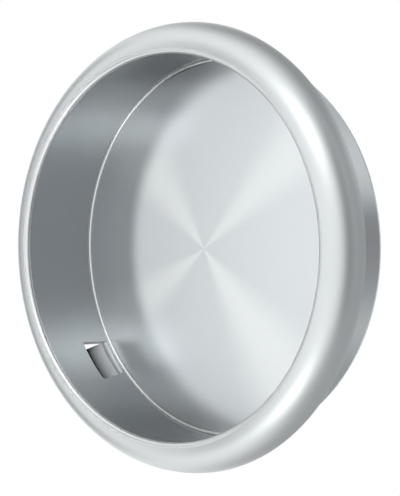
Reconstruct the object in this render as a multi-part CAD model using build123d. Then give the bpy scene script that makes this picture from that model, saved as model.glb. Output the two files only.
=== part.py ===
from build123d import *
from math import atan2, cos, degrees, hypot, radians, sin, sqrt
import os

# Round recessed pull handle, drawn in one piece from thin sheet.
# A flat-floored cup sinks into a bored hole in a sliding door, and a hollow
# half-round flange covers the hole's edge. One barb, cut on three sides out of
# the cup's wall and bent outwards, grips the side of the hole.
#
# Frame: Y is the axis of the cup and points into the door, so the mouth looks
# along -Y. Z is up. The origin is on the axis, in the plane where the flange's
# free edge rests on the door.

# Sheet
sheet = 0.5

# Cup: visible surfaces, seen from the mouth
mouth_diameter = 46.2
recess_depth = 11.3        # from the front of the lip to the floor
corner_radius = 0.3        # between wall and floor, on the visible side

# Flange
flange_width = 3.9         # from the mouth's wall to the free edge
flange_height = 4.0        # from the free edge to the front of the lip
lip_bend_radius = 0.1      # inside radius of the bend where wall turns into flange
crown_slope = 15.0         # degrees that the flange falls back where it leaves the lip

# Barb
barb_place = 217.0         # degrees about the axis, counter-clockwise from +X, seen from the mouth
barb_width = 4.65          # along the fold
barb_flare = 0.9           # by how much the free end is wider, all on the lower side
barb_length = 4.2          # of the window, from fold to free end
barb_setback = 0.5         # from the floor to the fold
barb_bend_radius = 1.0     # inside radius of the fold, on the wall's outer side
barb_bend = 35.0           # degrees that the barb leans out
barb_corner_radius = 0.3   # on the lower corner of the free end
lance_gap = 0.1            # between the barb and the window's sides

# Working values
mouth_radius = mouth_diameter / 2
wall_radius = mouth_radius + sheet
front = -flange_height
floor = front + recess_depth
fold = floor - barb_setback


def point_on(centre, radius, degrees_from_front):
    """The point of an arc where its outward normal has turned this far from -Y towards +X."""
    turn = radians(degrees_from_front)
    return (centre[0] + radius * sin(turn), centre[1] - radius * cos(turn))


def crown_arc():
    """Centre and radius of the flange's visible arc, and the slope at its free edge.

    The arc leaves the lip at crown_slope and ends on the free edge, so half its
    turn is the angle between its first tangent and its chord.
    """
    lip_radius = lip_bend_radius + sheet
    lip_centre = (mouth_radius + lip_radius, front + lip_radius)
    start = point_on(lip_centre, lip_radius, crown_slope)
    across = mouth_radius + flange_width - start[0]
    back = -start[1]
    chord_slope = degrees(atan2(back, across))
    half_turn = radians(chord_slope - crown_slope)
    radius = hypot(across, back) / (2 * sin(half_turn))
    slope = radians(crown_slope)
    centre = (start[0] - radius * sin(slope), start[1] + radius * cos(slope))
    return centre, radius, 2 * chord_slope - crown_slope


def sheet_section():
    """Half section of the cup and flange: radius along X, the cup's axis along Y."""
    lip_radius = lip_bend_radius + sheet
    lip_centre = (mouth_radius + lip_radius, front + lip_radius)
    corner_centre = (mouth_radius - corner_radius, floor - corner_radius)
    crown_centre, crown_radius, edge_slope = crown_arc()
    back_radius = crown_radius - sheet
    back_reach = sqrt(back_radius**2 - crown_centre[1]**2)
    back_edge = (crown_centre[0] + back_reach, 0)
    back_edge_slope = degrees(atan2(back_reach, crown_centre[1]))

    with BuildSketch(Plane.XY) as section:
        with BuildLine():
            # Visible side, from the axis out to the free edge
            Line((0, floor), (corner_centre[0], floor))
            ThreePointArc(
                (corner_centre[0], floor),
                point_on(corner_centre, corner_radius, 135),
                (mouth_radius, corner_centre[1]),
            )
            Line((mouth_radius, corner_centre[1]), (mouth_radius, lip_centre[1]))
            ThreePointArc(
                (mouth_radius, lip_centre[1]),
                point_on(lip_centre, lip_radius, (crown_slope - 90) / 2),
                point_on(lip_centre, lip_radius, crown_slope),
            )
            ThreePointArc(
                point_on(lip_centre, lip_radius, crown_slope),
                point_on(crown_centre, crown_radius, (crown_slope + edge_slope) / 2),
                (mouth_radius + flange_width, 0),
            )
            # Free edge, trimmed flat to lie on the door
            Line((mouth_radius + flange_width, 0), back_edge)
            # Hidden side, back to the axis
            ThreePointArc(
                back_edge,
                point_on(crown_centre, back_radius, (crown_slope + back_edge_slope) / 2),
                point_on(crown_centre, back_radius, crown_slope),
            )
            ThreePointArc(
                point_on(lip_centre, lip_bend_radius, crown_slope),
                point_on(lip_centre, lip_bend_radius, (crown_slope - 90) / 2),
                (wall_radius, lip_centre[1]),
            )
            Line((wall_radius, lip_centre[1]), (wall_radius, corner_centre[1]))
            ThreePointArc(
                (wall_radius, corner_centre[1]),
                point_on(corner_centre, corner_radius + sheet, 135),
                (corner_centre[0], floor + sheet),
            )
            Line((corner_centre[0], floor + sheet), (0, floor + sheet))
            Line((0, floor + sheet), (0, floor))
        make_face()
    return section.sketch


def barb_plane(distance):
    """A plane square to the barb's radius: its X runs along the fold, its Y to the free end."""
    place = radians(barb_place)
    out = Vector(cos(place), 0, sin(place))
    along_fold = Vector(0, -1, 0).cross(out)
    return Plane(origin=out * distance, x_dir=along_fold, z_dir=out)


def barb_outline(gap):
    """The barb seen along its radius, grown by a gap on its two sides and its free end."""
    half_fold = barb_width / 2 + gap
    end = barb_length - fold + gap
    corners = [
        (-half_fold, -fold),
        (half_fold, -fold),
        (half_fold + barb_flare, end),
        (-half_fold, end),
    ]
    outline = make_face(Polyline(*corners, close=True))
    lower_corner = outline.vertices().sort_by(Axis.Y)[-2:].sort_by(Axis.X)[-1]
    return fillet(lower_corner, barb_corner_radius + gap)


def barb_prism(gap):
    """The barb's outline carried out along its radius, from inside the cup to past its tip."""
    return extrude(barb_plane(mouth_radius / 2) * barb_outline(gap), amount=mouth_radius)


def barb_sheet():
    """The bent strip that the barb is cut from, turned about the cup's axis as the wall is."""
    outer_radius = barb_bend_radius + sheet
    bend_centre = (wall_radius + barb_bend_radius, fold)
    neutral_bend = (barb_bend_radius + sheet / 2) * radians(barb_bend)
    straight = barb_length - neutral_bend
    lean = radians(barb_bend)

    def bent(radius, run):
        """A point of the strip: round the bend at this radius, then this far straight on."""
        return (
            bend_centre[0] - radius * cos(lean) + run * sin(lean),
            bend_centre[1] - radius * sin(lean) - run * cos(lean),
        )

    def half_bent(radius):
        """The middle of the bend at this radius."""
        return (
            bend_centre[0] - radius * cos(lean / 2),
            bend_centre[1] - radius * sin(lean / 2),
        )

    with BuildSketch(Plane.XY) as strip:
        with BuildLine():
            ThreePointArc((mouth_radius, fold), half_bent(outer_radius), bent(outer_radius, 0))
            Polyline(
                bent(outer_radius, 0),
                bent(outer_radius, straight),
                bent(barb_bend_radius, straight),
                bent(barb_bend_radius, 0),
            )
            ThreePointArc(
                bent(barb_bend_radius, 0), half_bent(barb_bend_radius), (wall_radius, fold)
            )
            Line((wall_radius, fold), (mouth_radius, fold))
        make_face()
    spread = degrees(2 * (barb_width + barb_flare) / mouth_radius)
    ring = revolve(strip.sketch, axis=Axis.Y, revolution_arc=spread)
    return ring.rotate(Axis.Y, -barb_place - spread / 2)


def cup_pull():
    """The drawn cup with its flange, the barb's window and the barb in it, as one solid."""
    cup = revolve(sheet_section(), axis=Axis.Y)
    barb = barb_sheet() & barb_prism(0)
    return cup - barb_prism(lance_gap) + barb


os.makedirs("parts", exist_ok=True)
export_step(cup_pull(), "parts/cup_pull.step")
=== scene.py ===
from math import cos, pi, radians, sin

import bpy
import numpy as np
from mathutils import Matrix, Vector


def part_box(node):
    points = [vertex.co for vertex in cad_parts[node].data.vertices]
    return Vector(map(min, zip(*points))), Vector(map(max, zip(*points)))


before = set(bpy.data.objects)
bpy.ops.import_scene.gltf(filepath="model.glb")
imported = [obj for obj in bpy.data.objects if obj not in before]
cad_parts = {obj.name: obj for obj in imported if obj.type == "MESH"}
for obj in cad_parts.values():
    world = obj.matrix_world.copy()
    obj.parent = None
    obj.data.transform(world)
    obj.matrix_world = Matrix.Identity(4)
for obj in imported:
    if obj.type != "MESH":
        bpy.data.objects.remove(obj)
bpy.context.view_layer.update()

# Camera. It looks into the cup from its right side, level with its axis.
# The mouth's centre lies a little to the left of the middle of the picture.

flange_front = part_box("cup_pull")[0].y
mouth_centre = Vector((0, flange_front, 0))
camera_azimuth = radians(41.2)
camera_elevation = radians(0.49)
camera_roll = radians(0.59)
camera_distance = 0.30846
camera_right_of_mouth = 0.00419
camera_above_mouth = 0.00002

back = Vector(
    (
        sin(camera_azimuth) * cos(camera_elevation),
        -cos(camera_azimuth) * cos(camera_elevation),
        sin(camera_elevation),
    )
)
level_right = Vector((cos(camera_azimuth), sin(camera_azimuth), 0))
level_up = back.cross(level_right)
right = level_right * cos(camera_roll) - level_up * sin(camera_roll)
up = level_right * sin(camera_roll) + level_up * cos(camera_roll)

camera_data = bpy.data.cameras.new("camera")
camera_data.sensor_width = 36
camera_data.lens = 188.7
camera_data.clip_start = 0.01
camera_data.clip_end = 20
camera = bpy.data.objects.new("camera", camera_data)
bpy.context.scene.collection.objects.link(camera)
camera.location = (
    mouth_centre + right * camera_right_of_mouth + up * camera_above_mouth + back * camera_distance
)
camera.rotation_mode = "QUATERNION"
camera.rotation_quaternion = Matrix((right, up, back)).transposed().to_quaternion()
bpy.context.scene.camera = camera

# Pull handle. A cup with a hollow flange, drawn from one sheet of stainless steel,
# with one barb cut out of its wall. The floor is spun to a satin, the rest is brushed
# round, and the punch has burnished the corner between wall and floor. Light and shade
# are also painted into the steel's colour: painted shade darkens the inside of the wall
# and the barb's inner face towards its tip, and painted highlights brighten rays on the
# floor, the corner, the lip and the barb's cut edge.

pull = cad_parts["cup_pull"]

satin_colour = (0.672, 0.708, 0.730, 1)
# Painted highlight: the colour of the bright rays on the floor
ray_highlight_colour = (0.80, 0.835, 0.84, 1)
floor_roughness = 0.32
floor_metallic = 0.88        # the rest is the matt share of a spun satin
# Painted shade: the inside of the wall is coloured dark, as it lies in shade
wall_painted_shade_colour = (0.30, 0.316, 0.326, 1)
wall_roughness = 0.20
flange_colour = (0.785, 0.82, 0.83, 1)
flange_roughness = 0.40
hidden_colour = (0.56, 0.59, 0.61, 1)
hidden_roughness = 0.24
# Painted highlight: the corner's lighter colour stands in for the highlight on its fillet; its
# lower roughness is the punch's burnish
corner_highlight_colour = (0.75, 0.775, 0.785, 1)
burnished_roughness = 0.20
# Painted highlight: the lip's near-white colour stands in for the bright line on its bend
lip_highlight_colour = (0.93, 0.945, 0.95, 1)
lip_roughness = 0.42
barb_colour = (0.81, 0.845, 0.87, 1)
# Painted shade at the barb's tip, on its inner face
barb_tip_painted_shade = (0, 0, 0, 1)
barb_roughness = 0.35
# Painted highlight: the cut edge's near-white colour stands in for a light band along it
cut_edge_highlight_colour = (0.95, 0.955, 0.96, 1)
cut_edge_roughness = 0.9

# Lengths are in millimetres: depth along the cup's axis, radius from it
seam, fine_seam = 0.05, 0.03  # over which one finish runs into the next
floor_radius, corner_depth = 22.8, 6.95
corner_seam = 0.15
back_depth = 7.5             # in the floor's sheet, half way through
wall_radius = 23.13          # just outside the wall's visible side
lip_depth, lip_radius = -3.4, 23.25
lip_seam = 0.2
free_edge_depth = 0.0
barb_place = radians(217)    # about the cup's axis, from +X
barb_lean = radians(35)
barb_middle = 22.94          # of the leaning sheet, square to it, from the origin
barb_tip, barb_fold = 4.35, 6.75
barb_fade = 0.7              # power of the way from tip to fold, for the painted shade
fold_run, fold_half_width = 1.1, 2.4
fold_seam = 0.2
upper_gap = -2.36            # between the barb's upper side and its window
window_start, window_end = 2.48, 6.8
window_upper_side = -2.44
window_lower_side = 2.45     # at the fold
barb_flare = 0.214           # of the lower side, for each millimetre from the fold
nearest_to_axis = 20.0       # nothing of the barb or its window lies further in

# Painted highlights: bright rays as the spun floor reflects them. Each ray's middle and half width
# in degrees about the centre, and its strength
painted_highlight_rays = ((40, 19, 0.78), (130, 25, 0.95), (213, 21, 0.92), (309, 26, 1.0))
spin_centre = (-3.67, -0.24)
ray_core = 0.1               # share of a ray's half width that has its full strength
floor_lines_per_mm = 9
wall_lines_per_mm = 7
line_contrast = 0.06         # in the roughness


def use(tree, socket, value):
    """Links a socket into another, or sets it to a number or a vector."""
    if isinstance(value, bpy.types.NodeSocket):
        tree.links.new(value, socket)
    else:
        socket.default_value = value


def maths(tree, operation, *values, clamp=False):
    """Puts sockets or numbers through one Math node and returns its output."""
    made = tree.nodes.new("ShaderNodeMath")
    made.operation = operation
    made.use_clamp = clamp
    for socket, value in zip(made.inputs, values):
        use(tree, socket, value)
    return made.outputs[0]


def product(tree, first, *others):
    """Multiplies shares from 0 to 1, so that only the place they all cover is left."""
    for other in others:
        first = maths(tree, "MULTIPLY", first, other)
    return first


def length(tree, x, z):
    """The square root of x * x + z * z."""
    squares = (maths(tree, "MULTIPLY", x, x), maths(tree, "MULTIPLY", z, z))
    return maths(tree, "SQRT", maths(tree, "ADD", *squares))


def reach(tree, x, z, angle):
    """x * cos(angle) + z * sin(angle): how far a point lies in a direction of the plane."""
    shares = (maths(tree, "MULTIPLY", x, cos(angle)), maths(tree, "MULTIPLY", z, sin(angle)))
    return maths(tree, "ADD", *shares)


def rise(tree, value, start, end, low=0.0, high=1.0):
    """Goes smoothly from low to high while the value goes from start to end."""
    made = tree.nodes.new("ShaderNodeMapRange")
    made.interpolation_type = "SMOOTHSTEP"
    for name, number in zip(
        ("Value", "From Min", "From Max", "To Min", "To Max"), (value, start, end, low, high)
    ):
        use(tree, made.inputs[name], number)
    return made.outputs[0]


def blend_colours(tree, share, plain, other):
    """Mixes two colours by a share from 0 to 1."""
    made = tree.nodes.new("ShaderNodeMix")
    made.data_type = "RGBA"
    use(tree, made.inputs["Factor"], share)
    use(tree, made.inputs[6], plain)
    use(tree, made.inputs[7], other)
    return made.outputs[2]


def blend_numbers(tree, share, plain, other):
    """Mixes two numbers by a share from 0 to 1."""
    made = tree.nodes.new("ShaderNodeMix")
    use(tree, made.inputs["Factor"], share)
    use(tree, made.inputs[2], plain)
    use(tree, made.inputs[3], other)
    return made.outputs[0]


def fine_lines(tree, distance, lines_per_mm):
    """Noise that changes only with one distance, so that it makes parallel lines."""
    made = tree.nodes.new("ShaderNodeTexNoise")
    made.noise_dimensions = "1D"
    made.inputs["Detail"].default_value = 3
    use(tree, made.inputs["W"], maths(tree, "MULTIPLY", distance, lines_per_mm))
    return made.outputs["Fac"]


steel = bpy.data.materials.new("satin stainless steel")
steel.use_nodes = True
tree = steel.node_tree
shader = tree.nodes["Principled BSDF"]

coordinates = tree.nodes.new("ShaderNodeTexCoord")
in_millimetres = tree.nodes.new("ShaderNodeVectorMath")
in_millimetres.operation = "SCALE"
in_millimetres.inputs["Scale"].default_value = 1000
tree.links.new(coordinates.outputs["Object"], in_millimetres.inputs[0])
place = tree.nodes.new("ShaderNodeSeparateXYZ")
tree.links.new(in_millimetres.outputs[0], place.inputs[0])
across, depth, height = place.outputs
radius = length(tree, across, height)

# Where each finish is, as a share from 0 to 1; some of them carry painted shade or painted
# highlights
before_back = rise(tree, depth, back_depth + seam, back_depth)
deep = rise(tree, depth, corner_depth, corner_depth + corner_seam)
inside_wall = product(
    tree,
    rise(tree, radius, wall_radius + seam, wall_radius),
    rise(tree, depth, lip_depth - seam, lip_depth),
    before_back,
)
off_wall = rise(tree, inside_wall, 0.6, 0.4)
on_floor = product(
    tree, rise(tree, radius, floor_radius, floor_radius - corner_seam), deep, before_back
)
on_corner = product(
    tree, rise(tree, radius, floor_radius - corner_seam, floor_radius), deep, inside_wall
)
on_flange = product(tree, off_wall, rise(tree, depth, free_edge_depth + seam, free_edge_depth))
on_lip = product(
    tree,
    rise(tree, radius, lip_radius + lip_seam, lip_radius),
    rise(tree, depth, lip_depth, lip_depth - seam),
)

# The barb: along its fold, its lower side is at the positive end, and that side flares
along_fold = reach(tree, across, height, barb_place + pi / 2)
from_middle = maths(tree, "ABSOLUTE", along_fold)
towards_barb = reach(tree, across, height, barb_place)
slant = maths(tree, "MULTIPLY", maths(tree, "SUBTRACT", window_end, depth), barb_flare)
lower = maths(tree, "SUBTRACT", along_fold, slant)
in_window = product(
    tree,
    rise(tree, along_fold, window_upper_side - fine_seam, window_upper_side),
    rise(tree, lower, window_lower_side + fine_seam, window_lower_side),
    rise(tree, towards_barb, nearest_to_axis, nearest_to_axis + seam),
    rise(tree, depth, window_start - seam, window_start),
    rise(tree, depth, window_end + seam, window_end),
)
by_fold = product(
    tree,
    rise(tree, from_middle, fold_half_width + seam, fold_half_width),
    rise(tree, depth, barb_fold - fold_run - seam, barb_fold - fold_run),
    rise(tree, depth, barb_fold - seam, barb_fold - seam - fold_seam),
)
on_barb = product(tree, in_window, maths(tree, "MAXIMUM", off_wall, by_fold))
on_cut_edge = product(tree, on_barb, rise(tree, along_fold, upper_gap, upper_gap - fine_seam))

# Painted shade: its inner face goes dark towards the tip, and its outer face is light all over
from_tip = maths(
    tree, "DIVIDE", maths(tree, "SUBTRACT", depth, barb_tip), barb_fold - barb_tip, clamp=True
)
through_sheet = reach(tree, radius, depth, barb_lean)
outer_face = rise(tree, through_sheet, barb_middle - seam, barb_middle + seam)
unshaded_share = maths(tree, "MAXIMUM", maths(tree, "POWER", from_tip, barb_fade), outer_face)
barb_painted_shading = blend_colours(tree, unshaded_share, barb_tip_painted_shade, barb_colour)

# Painted highlights on the floor: bright rays as the spun satin reflects them; each falls off with
# the angle from its middle
from_spin_x = maths(tree, "SUBTRACT", across, spin_centre[0])
from_spin_z = maths(tree, "SUBTRACT", height, spin_centre[1])
turn = maths(tree, "ARCTAN2", from_spin_z, from_spin_x)
rays = 0.0
for middle, half_width, strength in painted_highlight_rays:
    off = maths(tree, "SUBTRACT", turn, radians(middle))
    off = maths(tree, "ABSOLUTE", maths(tree, "WRAP", off, pi, -pi))
    ray = rise(tree, off, radians(half_width), radians(half_width * ray_core), 0.0, strength)
    rays = maths(tree, "ADD", rays, ray)
floor_colour_with_painted_rays = blend_colours(tree, rays, satin_colour, ray_highlight_colour)

colour, roughness = hidden_colour, hidden_roughness
for share, its_colour, its_roughness in (
    (on_flange, flange_colour, flange_roughness),
    (inside_wall, wall_painted_shade_colour, wall_roughness),
    (on_floor, floor_colour_with_painted_rays, floor_roughness),
    (on_corner, corner_highlight_colour, burnished_roughness),
    (on_lip, lip_highlight_colour, lip_roughness),
    (on_barb, barb_painted_shading, barb_roughness),
    (on_cut_edge, cut_edge_highlight_colour, cut_edge_roughness),
):
    colour = blend_colours(tree, share, colour, its_colour)
    roughness = blend_numbers(tree, share, roughness, its_roughness)

# Fine lines: rings on the floor, rings at one depth on the wall and the flange
floor_lines = fine_lines(tree, length(tree, from_spin_x, from_spin_z), floor_lines_per_mm)
wall_lines = fine_lines(tree, maths(tree, "SUBTRACT", depth, radius), wall_lines_per_mm)
lines = blend_numbers(tree, on_floor, wall_lines, floor_lines)
unevenness = maths(tree, "MULTIPLY", maths(tree, "SUBTRACT", lines, 0.5), line_contrast)

tree.links.new(colour, shader.inputs["Base Color"])
tree.links.new(maths(tree, "ADD", roughness, unevenness), shader.inputs["Roughness"])
tree.links.new(blend_numbers(tree, on_floor, 1.0, floor_metallic), shader.inputs["Metallic"])

pull.data.materials.clear()
pull.data.materials.append(steel)

# Studio. A white surround with a pale floor, as far below as a door's handle is
# from the ground. Soft lamps and white, grey and black cloths hang round the
# handle; the lens doesn't see them, but the steel mirrors them.

ground_level = -1.0
ground_half = 6.0
ground_colour = (0.86, 0.87, 0.87, 1)
ground_roughness = 0.9
nearest_hanging = 0.55
hanging_step = 0.03          # further away for each hanging behind another
hanging_softness = 0.5       # share of its half width over which it thins out
hanging_divisions = 32
# Name, azimuth and elevation, half width and half height in degrees, brightness.
# The first hangs furthest away.
hangings = (
    ("grey_right", 139, -29, 82, 86, 0.41),
    ("grey_back", 169, 22, 75, 86, 0.27),
    ("dark_right", 75, 11.9, 17, 59.4, 0.10),
    ("white_back", -164, -12, 61, 32, 0.98),
    ("white_high_back", 180, 30, 53, 14, 0.98),
    ("grey_above", -32.6, 28.2, 16.6, 21.7, 0.36),
    ("black_below", -33.9, -28.1, 9.4, 24.7, 0.04),
    ("black_left", -53.6, 3.7, 16.3, 12.7, 0.04),
    ("black_front", -28.6, 1.4, 8.7, 8.8, 0.04),
    ("lamp_key", -36.1, 1.5, 4, 12.3, 4.16),
    ("lamp_above", 27.1, 40.6, 14.4, 11.4, 3.40),
    ("lamp_below", 13.8, -49.4, 13, 9.4, 3.56),
    ("black_far_left", -96.6, 0.1, 11.8, 47.7, 0.04),
)


def soft_panel(name, azimuth, elevation, half_width, half_height, brightness, distance):
    """A piece of a ball round the handle, whose cover falls from 1 to 0 at its edges.

    With c the direction of its middle, r and u the directions right and up from
    there, the grid's point at the angles a and b is
    distance * (cos b (c cos a + r sin a) + u sin b).
    """
    middle = np.array(
        [
            sin(azimuth) * cos(elevation),
            -cos(azimuth) * cos(elevation),
            sin(elevation),
        ]
    )
    rightward = np.array([cos(azimuth), sin(azimuth), 0])
    upward = np.array(
        [-sin(azimuth) * sin(elevation), cos(azimuth) * sin(elevation), cos(elevation)]
    )
    steps = np.linspace(-1, 1, hanging_divisions + 1)
    u, v = np.meshgrid(steps, steps)
    a, b = (u * half_width)[..., None], (v * half_height)[..., None]
    points = distance * (
        np.cos(b) * (middle * np.cos(a) + rightward * np.sin(a)) + upward * np.sin(b)
    )
    fade = np.clip((1 - np.abs(np.stack([u, v]))) / hanging_softness, 0, 1)
    cover = np.prod(fade * fade * (3 - 2 * fade), axis=0)

    corner = np.arange(u.size).reshape(u.shape)
    faces = np.stack(
        [corner[:-1, :-1], corner[:-1, 1:], corner[1:, 1:], corner[1:, :-1]], axis=-1
    ).reshape(-1, 4)
    mesh = bpy.data.meshes.new(name)
    mesh.from_pydata(points.reshape(-1, 3).tolist(), [], faces.tolist())
    for label, values in (("cover", cover), ("brightness", np.full(u.shape, brightness))):
        mesh.attributes.new(label, "FLOAT", "POINT").data.foreach_set("value", values.ravel())
    return mesh


hanging = bpy.data.materials.new("hanging")
hanging.use_nodes = True
tree = hanging.node_tree
tree.nodes.clear()
cover = tree.nodes.new("ShaderNodeAttribute")
cover.attribute_name = "cover"
brightness = tree.nodes.new("ShaderNodeAttribute")
brightness.attribute_name = "brightness"
glow = tree.nodes.new("ShaderNodeEmission")
clear = tree.nodes.new("ShaderNodeBsdfTransparent")
mixed = tree.nodes.new("ShaderNodeMixShader")
output = tree.nodes.new("ShaderNodeOutputMaterial")
tree.links.new(brightness.outputs["Fac"], glow.inputs["Strength"])
tree.links.new(cover.outputs["Fac"], mixed.inputs["Fac"])
tree.links.new(clear.outputs[0], mixed.inputs[1])
tree.links.new(glow.outputs[0], mixed.inputs[2])
tree.links.new(mixed.outputs[0], output.inputs["Surface"])

for order, (name, azimuth, elevation, half_width, half_height, level) in enumerate(hangings):
    mesh = soft_panel(
        name,
        radians(azimuth),
        radians(elevation),
        radians(half_width),
        radians(half_height),
        level,
        nearest_hanging + hanging_step * (len(hangings) - order),
    )
    mesh.materials.append(hanging)
    panel = bpy.data.objects.new(name, mesh)
    panel.visible_camera = False
    bpy.context.scene.collection.objects.link(panel)

ground_mesh = bpy.data.meshes.new("floor")
ground_mesh.from_pydata(
    [
        (x * ground_half, y * ground_half, ground_level)
        for x, y in ((-1, -1), (1, -1), (1, 1), (-1, 1))
    ],
    [],
    [(0, 1, 2, 3)],
)
ground = bpy.data.objects.new("floor", ground_mesh)
bpy.context.scene.collection.objects.link(ground)

pale = bpy.data.materials.new("pale floor")
pale.use_nodes = True
tree = pale.node_tree
matt = tree.nodes["Principled BSDF"]
matt.inputs["Base Color"].default_value = ground_colour
matt.inputs["Roughness"].default_value = ground_roughness
light_path = tree.nodes.new("ShaderNodeLightPath")
seen = maths(
    tree,
    "MAXIMUM",
    light_path.outputs["Is Camera Ray"],
    maths(
        tree,
        "MAXIMUM",
        light_path.outputs["Is Glossy Ray"],
        light_path.outputs["Is Transmission Ray"],
    ),
)
plain_white = tree.nodes.new("ShaderNodeEmission")
mixed = tree.nodes.new("ShaderNodeMixShader")
tree.links.new(seen, mixed.inputs["Fac"])
tree.links.new(matt.outputs[0], mixed.inputs[1])
tree.links.new(plain_white.outputs[0], mixed.inputs[2])
tree.links.new(mixed.outputs[0], tree.nodes["Material Output"].inputs["Surface"])
ground_mesh.materials.append(pale)

world = bpy.data.worlds.new("surround")
world.use_nodes = True
world.node_tree.nodes["Background"].inputs["Color"].default_value = (1, 1, 1, 1)
bpy.context.scene.world = world

bpy.context.scene.view_settings.view_transform = "Standard"
